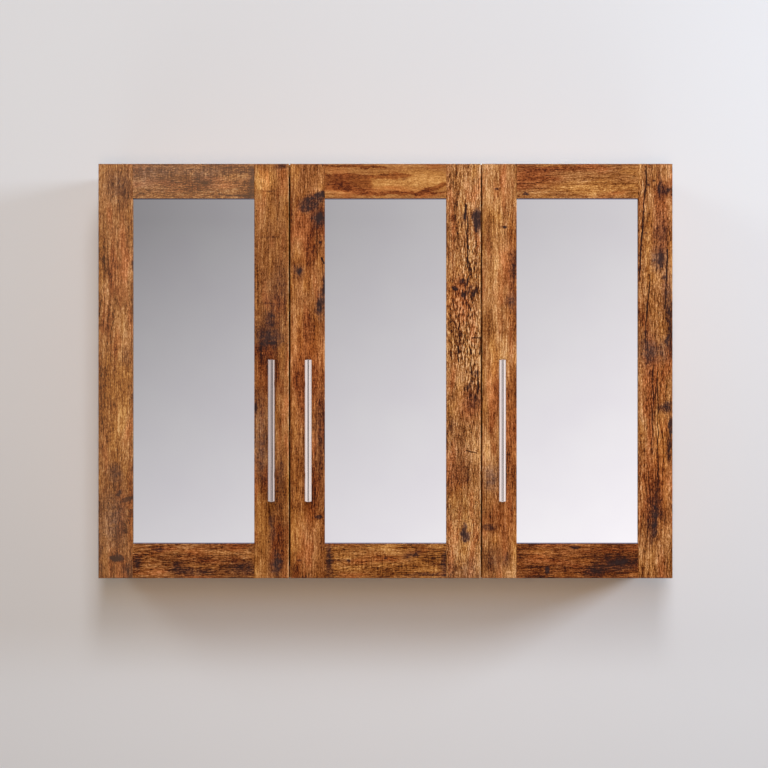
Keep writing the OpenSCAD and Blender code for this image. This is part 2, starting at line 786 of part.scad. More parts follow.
left_side_panel();
right_side_panel();
top_panel();
bottom_panel();
partition_panel();
back_panel();
hanging_rail();
wide_shelf_upper();
wide_shelf_lower();
narrow_shelf_upper();
narrow_shelf_lower();
shelf_pins();
cam_locks();
cam_bolts();
dowels();
partition_screws();
door_bumpers();
hinge_arms();
hinge_pins();
hinge_plates();
hinge_plate_screws();
hinge_arm_screws();
left_hinge_stile();
left_handle_stile();
left_top_rail();
left_bottom_rail();
left_mirror();
left_backing_board();
left_handle_bar();
left_handle_posts();
left_handle_screws();
left_hinge_cups();
left_cup_screws();
middle_hinge_stile();
middle_handle_stile();
middle_top_rail();
middle_bottom_rail();
middle_mirror();
middle_backing_board();
middle_handle_bar();
middle_handle_posts();
middle_handle_screws();
middle_hinge_cups();
middle_cup_screws();
right_hinge_stile();
right_handle_stile();
right_top_rail();
right_bottom_rail();
right_mirror();
right_backing_board();
right_handle_bar();
right_handle_posts();
right_handle_screws();
right_hinge_cups();
right_cup_screws();
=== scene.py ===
# %% [markdown]
# # A bathroom mirror cabinet in rustic brown board
#
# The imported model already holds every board, hinge, handle and sheet of glass in its right place.
# What it lacks is the look of them. The real cabinet is faced with a printed wood film full of
# knots, cracks and saw marks, its doors carry silvered mirrors, and its handles are brushed steel
# bars. This lesson loads the model, mixes one finish for each kind of part, adds the small wedges
# that hold its back in place, and hangs the cabinet on a pale wall in soft light.

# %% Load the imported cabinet
import math
import bpy
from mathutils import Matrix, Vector


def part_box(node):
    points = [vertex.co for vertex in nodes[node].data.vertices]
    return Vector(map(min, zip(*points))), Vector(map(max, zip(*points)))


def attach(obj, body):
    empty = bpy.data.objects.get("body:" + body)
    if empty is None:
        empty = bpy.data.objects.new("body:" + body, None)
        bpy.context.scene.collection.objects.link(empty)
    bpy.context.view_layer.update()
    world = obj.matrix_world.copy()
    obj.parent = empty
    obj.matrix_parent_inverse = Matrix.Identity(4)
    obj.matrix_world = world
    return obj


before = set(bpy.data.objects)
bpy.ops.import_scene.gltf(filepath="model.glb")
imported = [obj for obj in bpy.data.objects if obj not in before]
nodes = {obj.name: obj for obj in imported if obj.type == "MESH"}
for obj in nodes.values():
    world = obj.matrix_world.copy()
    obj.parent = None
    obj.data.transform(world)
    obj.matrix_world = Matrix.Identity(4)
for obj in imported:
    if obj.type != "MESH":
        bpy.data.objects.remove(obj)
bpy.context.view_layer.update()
print("nodes:", len(nodes))

# %% [markdown]
# ## A small mixing bench
#
# A finish is a tree of nodes, and wiring a tree by hand takes many lines. The bench below keeps
# that short: each call places one node, joins what it is given, and hands back the result. Colours
# are written as the values seen on a screen, 0 to 255, and turned into the linear numbers that a
# shader works with. Every pattern is measured in millimetres of the part's own space, so it stays
# on the wood when a door swings.

# %% Colours as seen on a screen
def tint(red, green, blue):
    """The linear colour for a red, green and blue seen on a screen."""
    parts = [c / 255 for c in (red, green, blue)]
    linear = [c / 12.92 if c <= 0.04045 else ((c + 0.055) / 1.055) ** 2.4 for c in parts]
    return (*linear, 1)


print("rustic brown, linear:", [round(c, 3) for c in tint(146, 95, 54)])

# %% The bench
class Finish:
    """A tree of nodes being laid: a new material by default, or the tree that is handed in."""

    def __init__(self, name="", tree=None):
        self.tree = tree
        if tree is None:
            self.material = bpy.data.materials.new(name)
            self.material.use_nodes = True
            self.tree = self.material.node_tree
        self.tree.nodes.clear()

    def put(self, kind, inputs, **settings):
        """Places a node, sets what is given as a value and joins what is given as a socket."""
        node = self.tree.nodes.new(kind)
        for setting, value in settings.items():
            setattr(node, setting, value)
        for key, value in inputs.items():
            if isinstance(value, bpy.types.NodeSocket):
                self.tree.links.new(value, node.inputs[key])
            else:
                node.inputs[key].default_value = value
        return node

    def work(self, operation, *values, clamp=False):
        inputs = dict(enumerate(values))
        return self.put("ShaderNodeMath", inputs, operation=operation, use_clamp=clamp).outputs[0]

    def vector(self, operation, *values):
        node = self.put("ShaderNodeVectorMath", dict(enumerate(values)), operation=operation)
        return node.outputs["Value" if operation in ("LENGTH", "DOT_PRODUCT") else "Vector"]

    def join(self, x, y, z):
        return self.put("ShaderNodeCombineXYZ", {"X": x, "Y": y, "Z": z}).outputs[0]

    def fit(self, value, low, high, to_low=0.0, to_high=1.0, soft=False):
        """Maps low to high onto to_low to to_high, and holds still outside of them."""
        inputs = {"Value": value, "From Min": low, "From Max": high, "To Min": to_low, "To Max": to_high}
        kind = "SMOOTHSTEP" if soft else "LINEAR"
        return self.put("ShaderNodeMapRange", inputs, interpolation_type=kind, clamp=True).outputs[0]

    def grain(self, place, size, detail=2.0, seed=0.0, colour=False):
        """Noise whose features measure size (along, across, depth) millimetres."""
        scale = [1 / s for s in size]
        away = (seed * 7.31, seed * 3.17, seed * 5.71)
        moved = {"Vector": place, "Location": away, "Scale": scale}
        stretched = self.put("ShaderNodeMapping", moved, vector_type="POINT").outputs[0]
        noise = self.put("ShaderNodeTexNoise", {"Vector": stretched, "Scale": 1.0, "Detail": detail})
        return noise.outputs["Color" if colour else "Fac"]

    def ramp(self, value, stops):
        node = self.put("ShaderNodeValToRGB", {"Fac": value})
        marks = node.color_ramp.elements
        while len(marks) < len(stops):
            marks.new(0.5)
        for mark, (at, colour) in zip(marks, stops):
            mark.position = at
            mark.color = colour
        return node.outputs["Color"]

    def blend(self, amount, first, second, mode="MIX"):
        node = self.put("ShaderNodeMix", {}, data_type="RGBA", blend_type=mode)
        sockets = (node.inputs[0], node.inputs[6], node.inputs[7])
        for socket, value in zip(sockets, (amount, first, second)):
            if isinstance(value, bpy.types.NodeSocket):
                self.tree.links.new(value, socket)
            else:
                socket.default_value = value
        return node.outputs[2]

    def place(self):
        """Where a point lies on the part, in millimetres, with its three separate numbers."""
        metres = self.put("ShaderNodeTexCoord", {}).outputs["Object"]
        whole = self.vector("SCALE", metres)
        whole.node.inputs["Scale"].default_value = 1000
        split = self.put("ShaderNodeSeparateXYZ", {"Vector": whole}).outputs
        return whole, split["X"], split["Y"], split["Z"]

    def bump(self, height, strength, reach):
        inputs = {"Height": height, "Strength": strength, "Distance": reach}
        return self.put("ShaderNodeBump", inputs).outputs[0]

    def surface(self, **inputs):
        inputs = {name.replace("_", " "): value for name, value in inputs.items()}
        shader = self.put("ShaderNodeBsdfPrincipled", inputs)
        self.put("ShaderNodeOutputMaterial", {"Surface": shader.outputs[0]})
        return self.material


def dress(finish, *names):
    """Gives the named model parts this finish."""
    for name in names:
        for place in nodes[name].material_slots:
            place.material = finish
    print(f"{finish.name}: {', '.join(names)}")


# %% [markdown]
# ## The rustic brown board
#
# The boards are chipboard under a printed film. Seen close, the film is a photograph of old pine:
# broad clouds of darker and lighter brown, long streaks, a fine grain, saw marks running across
# it, and a dusting of dark pores. One noise can't give that, so several are laid over each other,
# each stretched along the board by its own length and width. The sum is a single lightness, and a
# ramp of browns, from burnt to bleached, turns it into colour. The grain runs up the stiles and
# along the rails, so each board is told which way its grain lies.

# %% The browns of the film, from burnt to bleached
FILM_BROWNS = [
    (0.00, tint(30, 10, 2)),
    (0.12, tint(64, 27, 8)),
    (0.25, tint(99, 51, 16)),
    (0.38, tint(127, 74, 33)),
    (0.50, tint(149, 95, 49)),
    (0.62, tint(169, 114, 63)),
    (0.76, tint(192, 138, 84)),
    (0.90, tint(215, 164, 110)),
    (1.00, tint(232, 188, 138)),
]

CHARRED_BROWNS = [
    (0.00, tint(47, 31, 28)),
    (0.25, tint(74, 49, 40)),
    (0.50, tint(112, 76, 56)),
    (1.00, tint(180, 138, 108)),
]

GRAIN_LAYERS = [
    ("clouds", (58, 25, 25), 2.5, 1.05),
    ("streaks", (40, 4.4, 4.4), 2.5, 0.64),
    ("lines", (60, 1.2, 1.2), 1.5, 0.62),
    ("fine", (8.5, 1.1, 1.1), 1.5, 0.60),
    ("mottle", (2.6, 1.3, 1.3), 1.5, 0.95),
    ("saw", (1.9, 19, 19), 1.0, 0.70),
]
print("grain layers:", [layer[0] for layer in GRAIN_LAYERS])

# %% [markdown]
# ## Knots, cracks and stains
#
# A printed board is recognised by its marks, and they can't be left to chance: the big knot
# beside the middle mirror or the split on the right-hand stile would be missed. Each mark is an
# oval with a place, a size and a tilt. Its outline is roughened by pulling the surface about with
# noise before the distance to the oval is measured, which turns a plain ellipse into a ragged
# knot or a wandering crack. What a mark does is named by its kind: it can darken, char, redden,
# turn ochre, scatter flecks, or lay growth rings round itself.

# %% What each kind of mark does
MARK_KINDS = {
    "knot": dict(light=-0.38, char=0.85, edge=0.40, pull="ragged"),
    "heart": dict(light=0.16, char=-0.35, edge=0.70, pull="ragged"),
    "dot": dict(light=-0.36, char=0.55, edge=0.60, pull="fine"),
    "stain": dict(light=-0.15, char=0.35, edge=0.95, pull="ragged"),
    "smoke": dict(light=-0.08, char=0.60, edge=0.95, pull="ragged"),
    "burn": dict(light=-0.26, char=0.45, edge=0.85, pull="ragged"),
    "crack": dict(cut=0.70, char=0.25, edge=0.60, pull="wavy", long=True),
    "scratch": dict(light=-0.14, char=0.15, edge=0.80, pull="fine"),
    # painted highlight: a light line where a rounded door edge catches the light
    "painted_highlight": dict(light=0.26, edge=0.50, pull="fine"),
    "seam": dict(light=-0.22, edge=0.50, pull="fine"),
    "pale": dict(light=0.15, ochre=0.35, edge=0.85, pull="ragged"),
    "ochre": dict(light=0.05, ochre=0.80, edge=0.90, pull="ragged"),
    "red": dict(light=-0.12, red=0.80, edge=0.80, pull="ragged"),
    "flame": dict(light=-0.25, red=0.60, edge=0.14, pull="ragged"),
    "tongue": dict(light=-0.21, red=0.60, edge=0.14, pull="ragged", long=True),
    "lines": dict(line=1.00, edge=0.90, pull="fine"),
    "bark": dict(fleck=1.00, edge=0.70, pull="ragged"),
    "specks": dict(speck=1.00, char=0.15, edge=0.90, pull="ragged"),
    "rings": dict(ring=1.00, edge=0.60, pull="wavy"),
}
CHANNELS = ("light", "cut", "char", "ochre", "red", "fleck", "speck", "ring", "line")
RING_ANGLE = 20.0  # radians of growth ring from the middle of a mark to its outline
LONG_TAPER = 4.0  # a long mark keeps its width, then closes over its last quarter
print("kinds of mark:", ", ".join(MARK_KINDS))


# %% Lay the marks over a board
def pulled_places(finish, flat, seed):
    """The flat place of a point, pulled about in three ways that roughen outlines."""
    ways = {"fine": [(3, 2.2)], "ragged": [(13, 9.0), (3.4, 3.6)], "wavy": [(30, 6.0), (6, 1.6)]}
    pulled = {}
    for way, pulls in ways.items():
        place = flat
        for size, reach in pulls:
            drift = finish.grain(flat, (size, size, size), 1.0, seed + size, colour=True)
            drift = finish.vector("SUBTRACT", drift, (0.5, 0.5, 0.5))
            drift = finish.vector("MULTIPLY", drift, (reach, reach, 0))
            place = finish.vector("ADD", place, drift)
        pulled[way] = place
    return pulled


def lay_marks(finish, flat, marks, seed):
    """Adds up what all the marks do at a point, one total for each channel."""
    totals = {channel: 0.0 for channel in CHANNELS}
    pulled = pulled_places(finish, flat, seed) if marks else {}
    for kind, across, up, half_across, half_up, tilt in marks:
        deeds = MARK_KINDS[kind]
        oval = {
            "Vector": pulled[deeds["pull"]],
            "Location": (across, up, 0),
            "Rotation": (0, 0, -math.radians(tilt)),
            "Scale": (half_across, half_up, 1),
        }
        inside = finish.put("ShaderNodeMapping", oval, vector_type="TEXTURE").outputs[0]
        far = finish.vector("LENGTH", inside)
        if deeds.get("long"):
            sides = finish.vector("ABSOLUTE", inside)
            sides = finish.put("ShaderNodeSeparateXYZ", {"Vector": sides}).outputs
            tip = finish.work("MULTIPLY_ADD", sides["Y"], LONG_TAPER, 1 - LONG_TAPER)
            far = finish.work("MAXIMUM", sides["X"], tip)
        edge = deeds["edge"]
        strength = finish.fit(far, 1 - edge, 1 + edge, 1, 0, soft=True)
        for channel in CHANNELS:
            if channel not in deeds:
                continue
            share = deeds[channel]
            if channel == "ring":
                share = finish.work("SINE", finish.work("MULTIPLY", far, RING_ANGLE))
            totals[channel] = finish.work("MULTIPLY_ADD", strength, share, totals[channel])
    return totals


# %% [markdown]
# ## Mixing one board
#
# Each board gets its own copy of the film, with its own average lightness, contrast and seed, so
# that no two neighbours match. The marks are then worked in: dark ones lower the lightness, and
# the charred total slides the colour from the warm ramp to a grey-brown one, as burnt wood does.
# The film is a satin lacquer, so the roughness stays near the middle and rises a little in the
# dark pores, which a faint bump sinks below the surface. The thin back of the case wears the film
# on its inner face only, and behind a given plane it turns into the raw hardboard that it is.

# %% Bare hardboard
def bare_board(finish, whole, x, z):
    """The brown of raw hardboard: short fibres lying both ways over faint clouds."""
    upright = finish.grain(finish.join(z, x, 0.0), (5, 0.7, 1), 3.0, 6)
    level = finish.grain(finish.join(x, z, 0.0), (4, 0.7, 1), 3.0, 8)
    cloud = finish.grain(whole, (45, 45, 45), 3.0, 7)
    mix = finish.work("MULTIPLY_ADD", upright, 0.45, finish.work("MULTIPLY", level, 0.35))
    mix = finish.work("MULTIPLY_ADD", cloud, 0.2, mix)
    browns = [(0.36, tint(88, 58, 37)), (0.50, tint(120, 83, 54)), (0.64, tint(152, 113, 78))]
    return finish.ramp(mix, browns)


# %% One board finish
PORE_DARK = 0.27
DUST_DARK = 0.46
EVERYWHERE_DUST = 0.40
FLECK_SWING = 3.0
RING_SWING = 0.11


def board_film(name, grain="up", face="front", tone=0.5, contrast=1.0, specks=0.0, figure=0.0,
               ochre=0.0, red=0.0, faded=0.0, seed=1.0, marks=(), bare_behind=None, **weights):
    """Film for one board: tone is its mean lightness, weights scale its grain layers by name."""
    finish = Finish(name)
    whole, x, y, z = finish.place()
    seen_across, seen_up, depth = {"front": (x, z, y), "side": (y, z, x), "top": (x, y, z)}[face]
    flat = finish.join(seen_across, seen_up, 0.0)
    along, across = {"up": (z, x), "level": (x, z)}[grain]
    if face != "front":
        across = y
    wood = finish.join(along, across, depth)

    light = tone
    sawn = finish.grain(wood, (40, 26, 26), 1.0, seed + 5)
    sawn = finish.fit(sawn, 0.42, 0.62, soft=True)
    for number, (layer, size, detail, amount) in enumerate(GRAIN_LAYERS):
        value = finish.grain(wood, size, detail, seed + number * 11)
        value = finish.work("SUBTRACT", value, 0.5)
        if layer == "saw":
            value = finish.work("MULTIPLY", value, sawn)
        if layer == "fine":
            value = finish.fit(value, -0.11, 0.11, -0.22, 0.22, soft=True)
            height = value
        light = finish.work("MULTIPLY_ADD", value, amount * contrast * weights.get(layer, 1.0), light)
    totals = lay_marks(finish, flat, marks, seed)

    # the pattern of long growth lines, strong only where a mark asks for it
    bend = finish.grain(wood, (150, 26, 40), 1.0, seed + 70)
    bend = finish.work("MULTIPLY", bend, 42.0)
    wave = finish.work("MULTIPLY_ADD", across, 0.95, bend)
    wave = finish.fit(finish.work("SINE", wave), 0.1, 1.0, soft=True)
    strong = finish.work("MULTIPLY_ADD", totals["line"], -0.16, -0.05 - figure)
    light = finish.work("MULTIPLY_ADD", wave, strong, light)

    # pores and dust, which are dark and lie a little below the surface
    pores = finish.grain(wood, (9, 0.95, 0.95), 1.0, seed + 50)
    pores = finish.fit(pores, 0.61, 0.71, soft=True)
    dust = finish.grain(wood, (1.7, 1.5, 1.5), 1.0, seed + 60)
    dust = finish.fit(dust, 0.60, 0.72, soft=True)
    dusty = finish.work("ADD", totals["speck"], EVERYWHERE_DUST + specks)
    sunk = finish.work("MULTIPLY", pores, PORE_DARK * contrast * weights.get("pores", 1.0))
    sunk = finish.work("MULTIPLY_ADD", finish.work("MULTIPLY", dust, dusty), DUST_DARK, sunk)
    light = finish.work("SUBTRACT", light, sunk)
    height = finish.work("SUBTRACT", height, sunk)

    # what the marks add: flecks of bark, growth rings, and their darkness, broken by noise
    flecks = finish.grain(wood, (7.5, 1.7, 1.7), 2.0, seed + 90)
    flecks = finish.work("MULTIPLY", finish.work("SUBTRACT", flecks, 0.52), totals["fleck"])
    light = finish.work("MULTIPLY_ADD", flecks, FLECK_SWING, light)
    light = finish.work("MULTIPLY_ADD", totals["ring"], RING_SWING, light)
    broken = finish.grain(flat, (5, 5, 5), 2.0, seed + 33)
    broken = finish.fit(broken, 0.3, 0.7, 0.55, 1.45)
    light = finish.work("MULTIPLY_ADD", totals["light"], broken, light)
    light = finish.work("SUBTRACT", light, totals["cut"])

    # from lightness to colour: patches of ochre and red, then the charred places
    colour = finish.ramp(light, FILM_BROWNS)
    hue = finish.grain(wood, (60, 16, 16), 2.0, seed + 40)
    warmth = finish.work("ADD", finish.fit(hue, 0.50, 0.70), totals["ochre"])
    warmth = finish.work("ADD", warmth, ochre, clamp=True)
    colour = finish.blend(warmth, colour, tint(255, 248, 214), "MULTIPLY")
    redness = finish.work("ADD", finish.fit(hue, 0.48, 0.30), totals["red"])
    redness = finish.work("ADD", redness, red, clamp=True)
    colour = finish.blend(redness, colour, tint(255, 226, 214), "MULTIPLY")
    charred = finish.ramp(light, CHARRED_BROWNS)
    char = finish.work("MULTIPLY", totals["char"], broken, clamp=True)
    colour = finish.blend(char, colour, charred)
    colour = finish.blend(faded, colour, tint(156, 118, 86))

    rough = finish.fit(light, 0.1, 0.8, 0.62, 0.48)
    if bare_behind is not None:
        rear = finish.fit(y, bare_behind, bare_behind + 0.2)
        colour = finish.blend(rear, colour, bare_board(finish, whole, x, z))
        rough = finish.work("MAXIMUM", rough, finish.work("MULTIPLY", rear, 0.82))
    normal = finish.bump(height, 0.25, 0.0003)
    return finish.surface(Base_Color=colour, Roughness=rough, Normal=normal, Specular_IOR_Level=0.14)


# %% [markdown]
# ## The twelve boards of the doors
#
# Each door is a frame of two upright stiles and two level rails. The list below says for each of
# them how light, how strong and how speckled its film is, and where its marks lie. Places are in
# millimetres in the cabinet's own frame: across to the right, and up.

# %% Marks on the left door
film = {}
film["left_hinge_stile"] = dict(
    tone=0.57, contrast=1.0, seed=1, faded=0.14, figure=0.03, saw=0.4, clouds=0.85, streaks=0.6,
    lines=1.2, marks=[
        ("smoke", -371, 16, 15, 22, 0), ("rings", -403, -130, 18, 64, 0),
        ("lines", -388, -140, 12, 90, 0), ("dot", -352, -93, 1.4, 3, 0),
        ("dot", -351, -100, 1.6, 3, 0), ("stain", -362, -222, 5, 12, 0),
        ("ochre", -372, -290, 16, 80, 0), ("smoke", -376, -385, 9, 11, 0),
        ("dot", -358, -421, 8, 3, -12), ("dot", -370, -412, 3, 5, 40),
        ("specks", -378, -452, 22, 36, 0), ("smoke", -378, -450, 14, 30, 0),
        ("knot", -374, -502, 9, 5.5, 0), ("burn", -356, -520, 8, 12, 0),
        ("stain", -397, -500, 3, 60, 0), ("red", -354, -430, 4, 60, 0),
    ])
film["left_handle_stile"] = dict(
    tone=0.53, contrast=0.85, seed=2, specks=0.15, fine=0.8, streaks=0.8, saw=0.5, marks=[
        ("ochre", -166, 22, 15, 19, 0), ("pale", -168, 20, 13, 17, 0),
        ("pale", -169, 20, 9, 12, 0), ("red", -142, 24, 5, 20, 0), ("burn", -144, 42, 9, 4, 0),
        ("scratch", -163, 7, 15, 1.2, 0), ("scratch", -163, -57, 14, 1.2, 0),
        ("scratch", -163, -149, 15, 1.2, 2), ("scratch", -163, -204, 15, 1.2, -3),
        ("stain", -148, -128, 16, 28, 10), ("stain", -160, -186, 17, 28, 0),
        ("burn", -161, -170, 6, 9, 0), ("specks", -163, -194, 19, 14, 0),
        ("smoke", -163, -198, 16, 8, 0), ("dot", -157, -204, 4, 2, 0),
        ("red", -166, -240, 14, 40, 0), ("dot", -180, -293, 2.4, 6, 0),
        ("smoke", -174, -330, 9, 46, 0), ("stain", -172, -368, 9, 24, 0),
        ("ochre", -173, -460, 9, 70, 0), ("smoke", -157, -462, 3, 18, 0),
        ("stain", -146, -380, 5, 20, 0), ("burn", -152, -511, 7, 16, 0),
        ("smoke", -152, -513, 6, 12, 0), ("red", -146, -490, 8, 30, 0),
        # painted highlight along the rounded edge of the door at the gap
        ("painted_highlight", -135, -243, 0.8, 900, 0),
    ])
film["left_top_rail"] = dict(
    tone=0.49, contrast=1.35, seed=3, faded=0.30, specks=0.40, streaks=0.6, marks=[
        ("smoke", -330, 28, 34, 14, 0), ("smoke", -260, 36, 60, 6, 0),
        ("burn", -183, 24, 3, 12, 0), ("burn", -338, 2, 8, 1.6, 0), ("scratch", -316, 41, 8, 2, 0),
        ("stain", -262, 24, 10, 8, 0), ("burn", -205, 1, 34, 2, 0), ("pale", -225, 20, 20, 10, 0),
        ("stain", -245, 24, 12, 11, 0), ("burn", -186, 22, 4, 22, 0),
    ])
film["left_bottom_rail"] = dict(
    tone=0.45, contrast=0.95, seed=4, red=0.1, figure=0.03, saw=0.5, streaks=0.65, fine=1.2,
    marks=[
        ("burn", -314, -491, 7, 3, 0), ("burn", -346, -509, 5, 9, 0),
        ("pale", -326, -507, 9, 14, 10), ("lines", -326, -507, 16, 18, 60),
        ("burn", -289, -515, 6, 6, 0), ("burn", -268, -522, 26, 5, 0),
        ("burn", -198, -518, 18, 8, 0), ("pale", -240, -494, 50, 3, 0),
    ])
print("left door:", [len(film[b]["marks"]) for b in film])

# %% Marks on the middle door
film["middle_handle_stile"] = dict(
    tone=0.53, contrast=0.90, seed=5, red=0.25, saw=0.4, pores=0.7, marks=[
        ("knot", -103, -9, 17, 10, -25), ("heart", -100, -9, 9, 5, -25),
        ("rings", -100, -9, 12, 8, -25), ("knot", -89, 3, 8, 5, 0), ("smoke", -92, -31, 10, 10, 0),
        ("stain", -93, -30, 8, 9, 0), ("dot", -90, -28, 3, 4, 0), ("ochre", -121, -6, 3, 15, 0),
        ("red", -106, -60, 9, 40, 0), ("dot", -90.6, -64, 1.8, 1.8, 0),
        ("smoke", -120, -104, 6, 7, 0), ("dot", -120, -104, 3, 4, 0),
        ("crack", -87, -89, 1, 5, -20), ("burn", -86.4, -130, 2, 26, 0),
        ("burn", -92, -152, 3, 16, 0), ("burn", -86, -126, 2.6, 11, 0),
        ("smoke", -90, -150, 6, 16, 0), ("dot", -92, -152, 3, 8, 0),
        ("red", -108, -240, 20, 60, 0), ("stain", -90, -330, 9, 46, 0),
        ("ochre", -124, -466, 8, 62, 0), ("red", -104, -420, 8, 40, 0),
        ("dot", -93, -446, 4.5, 2.8, 0), ("dot", -120, -506, 2.6, 1.4, 0),
        ("lines", -118, -500, 14, 30, 0),
    ])
film["middle_hinge_stile"] = dict(
    tone=0.665, contrast=0.95, seed=6, specks=0.3, figure=0.04, saw=0.3, streaks=0.75, fine=1.5,
    mottle=1.2, marks=[
        ("crack", 110.8, -22, 1.5, 11, 2), ("crack", 114.5, -62, 0.95, 34, 0),
        ("burn", 110.5, -30, 4, 9, 14), ("knot", 128, -33, 8, 15, 0), ("burn", 129, -35, 7, 15, 0),
        ("pale", 117.7, -31.6, 3, 5, 0), ("lines", 106, -20, 30, 60, 0),
        ("bark", 118, -84, 12, 28, 0), ("crack", 117, -100, 0.8, 10, 0),
        ("dot", 106, -118, 4, 3, -30), ("dot", 113, -120, 2, 7, 20),
        ("dot", 117, -130, 2.4, 8, 25), ("dot", 123, -134, 2.4, 6, 30),
        ("dot", 97, -128, 5, 2.4, 20), ("dot", 108, -138, 3, 5, 0), ("bark", 109, -165, 28, 50, 0),
        ("red", 102, -140, 16, 30, 0), ("crack", 125, -197, 6, 1, 0),
        ("crack", 131, -208, 1, 12, 0), ("bark", 112, -218, 16, 16, 0),
        ("crack", 101.5, -219, 0.7, 10, 0), ("crack", 119, -236, 0.8, 13, 0),
        ("dot", 118, -262, 3, 8, 40), ("dot", 125, -246, 5, 4, 0), ("crack", 129, -256, 1, 18, 0),
        ("bark", 121, -256, 12, 22, 0), ("stain", 124, -285, 12, 13, 0),
        ("red", 116, -290, 16, 20, 0), ("stain", 91, -318, 4, 9, 0),
        ("crack", 120, -355, 7, 0.7, 15), ("specks", 110, -350, 22, 30, 0),
        ("red", 98, -392, 14, 20, 0), ("specks", 103, -389, 16, 14, 0),
        ("ochre", 112, -440, 20, 40, 0), ("specks", 112, -440, 22, 40, 0),
        ("knot", 109, -462, 3.5, 8, 10), ("knot", 111, -474, 5.5, 9, 10),
        # the second mark on the next line is a painted highlight along the rounded door edge at the gap
        ("stain", 112, -520, 26, 14, 0), ("painted_highlight", 131.6, -243, 0.8, 900, 0),
    ])
film["middle_top_rail"] = dict(
    tone=0.605, contrast=0.80, seed=7, ochre=0.45, saw=0.0, clouds=0.3, streaks=0.4, fine=0.6,
    mottle=0.7, lines=0.7, pores=0.5, marks=[
        ("tongue", -52, 19, 33, 12, 0), ("red", -62, 15, 12, 6, 0), ("flame", 8, 28, 30, 3.4, -2),
        ("flame", -40, 41, 46, 2.2, 2), ("flame", 20, 4, 66, 2.6, 0),
        ("scratch", 26, 24, 4, 1.6, 0), ("flame", 70, 12, 19, 3.5, -17),
        ("pale", -62, 6, 12, 3, 0), ("ochre", 30, 20, 60, 12, 0), ("pale", 34, 21, 52, 10, 0),
    ])
film["middle_bottom_rail"] = dict(
    tone=0.46, contrast=0.95, seed=8, ochre=0.6, specks=0.45, marks=[
        ("dot", -51, -507, 2.8, 2.2, 0), ("dot", 0, -503, 1.8, 1.6, 0),
        ("burn", 37, -498, 11, 4, -14), ("burn", 82, -512, 4, 20, 0),
        ("scratch", -60, -506, 20, 1.6, 0), ("burn", 62, -526, 26, 2.4, 0),
        ("burn", -78, -500, 4, 24, 0),
    ])
print("middle door:", [len(film[b]["marks"]) for b in film if b.startswith("middle")])

# %% Marks on the right door
film["right_handle_stile"] = dict(
    tone=0.62, contrast=0.95, seed=9, figure=0.03, saw=0.4, marks=[
        ("pale", 156, -60, 7, 100, 0), ("dot", 154.5, 10, 3.2, 1.4, 0),
        ("dot", 164, -43, 5, 1.8, 0), ("dot", 166, -43, 2.5, 1.8, 0), ("red", 176, -120, 8, 80, 0),
        ("stain", 178, -103, 5, 22, 0), ("smoke", 176, -146, 6, 12, 0),
        ("red", 152, -275, 7, 50, 0), ("red", 175, -330, 9, 80, 0), ("pale", 146, -250, 6, 40, 0),
        ("specks", 146, -392, 12, 20, 0), ("specks", 148, -388, 9, 16, 0),
        ("smoke", 146, -392, 10, 14, 0), ("burn", 142, -460, 10, 4, 0),
        ("red", 165, -450, 16, 40, 0), ("burn", 169, -506, 4, 8, 0),
        ("stain", 150, -505, 12, 14, 0),
    ])
film["right_hinge_stile"] = dict(
    tone=0.58, contrast=1.0, seed=10, red=0.1, figure=0.06, saw=0.4, streaks=0.75, fine=1.3,
    marks=[
        ("crack", 361.6, 24, 0.8, 17, 0), ("crack", 356.6, -50, 0.8, 62, 4),
        ("dot", 373, 21, 1.8, 1.6, 0), ("dot", 366, 15.6, 1.9, 1.5, 0),
        ("dot", 362, -51, 1.8, 1.6, 0), ("burn", 381, 15, 2.6, 15, 0), ("stain", 390, 8, 9, 9, 0),
        ("burn", 393, 12, 6, 3, 25), ("red", 386, 10, 12, 14, 0), ("red", 383, -44, 12, 34, 0),
        ("stain", 383, -50, 10, 24, 0), ("smoke", 380, -89, 10, 14, 0),
        ("burn", 380, -89, 7, 11, 14), ("smoke", 392, -132, 6, 24, 0), ("dot", 386, -113, 3, 3, 0),
        ("crack", 391, -95, 0.8, 22, 2), ("crack", 388.5, -132, 0.7, 24, 4),
        ("crack", 366, -135, 0.6, 26, 4), ("crack", 362.5, -176, 0.6, 26, 3),
        ("burn", 395, -178, 3, 26, 0), ("knot", 391, -200, 3, 8, 0),
        ("stain", 364, -215, 8, 24, 0), ("smoke", 376, -215, 22, 14, 0),
        ("red", 372, -240, 14, 30, 0), ("burn", 390, -294, 8, 8, 0), ("stain", 389, -292, 7, 6, 0),
        ("rings", 390, -294, 9, 9, 0), ("knot", 396, -321, 2.5, 13, 0),
        ("burn", 394, -350, 3, 14, 0), ("red", 376, -400, 20, 60, 0),
        ("lines", 374, -350, 14, 120, 0), ("crack", 378, -330, 0.5, 80, 0),
        ("crack", 371, -300, 0.5, 60, 1), ("ochre", 384, -330, 8, 70, 0),
        ("burn", 375, -452, 4, 24, 3), ("stain", 374, -450, 10, 34, 0),
        ("lines", 360, -480, 12, 60, 0),
    ])
film["right_top_rail"] = dict(
    tone=0.525, contrast=0.90, seed=12, saw=0.2, clouds=0.5, streaks=0.5, marks=[
        ("red", 205, 25, 30, 12, 0), ("red", 240, 38, 60, 4, 0), ("pale", 206, 25, 22, 7, 0),
        ("knot", 196, 2, 3.4, 2, 0), ("pale", 290, 8, 50, 8, 0), ("ochre", 310, 14, 44, 12, 0),
        ("scratch", 270, 22, 24, 1, 0),
    ])
film["right_bottom_rail"] = dict(
    tone=0.37, contrast=1.0, seed=13, red=0.5, saw=0.4, marks=[
        ("knot", 225, -520, 3.4, 5, 0), ("dot", 263, -488, 6, 2.4, 0),
        ("burn", 318, -511, 24, 9, 0), ("dot", 326, -508, 10, 3, -10),
        ("burn", 290, -522, 12, 6, 0), ("lines", 215, -500, 24, 16, 30),
        ("pale", 214, -498, 16, 8, 0),
    ])
print("right door:", [len(film[b]["marks"]) for b in film if b.startswith("right")])

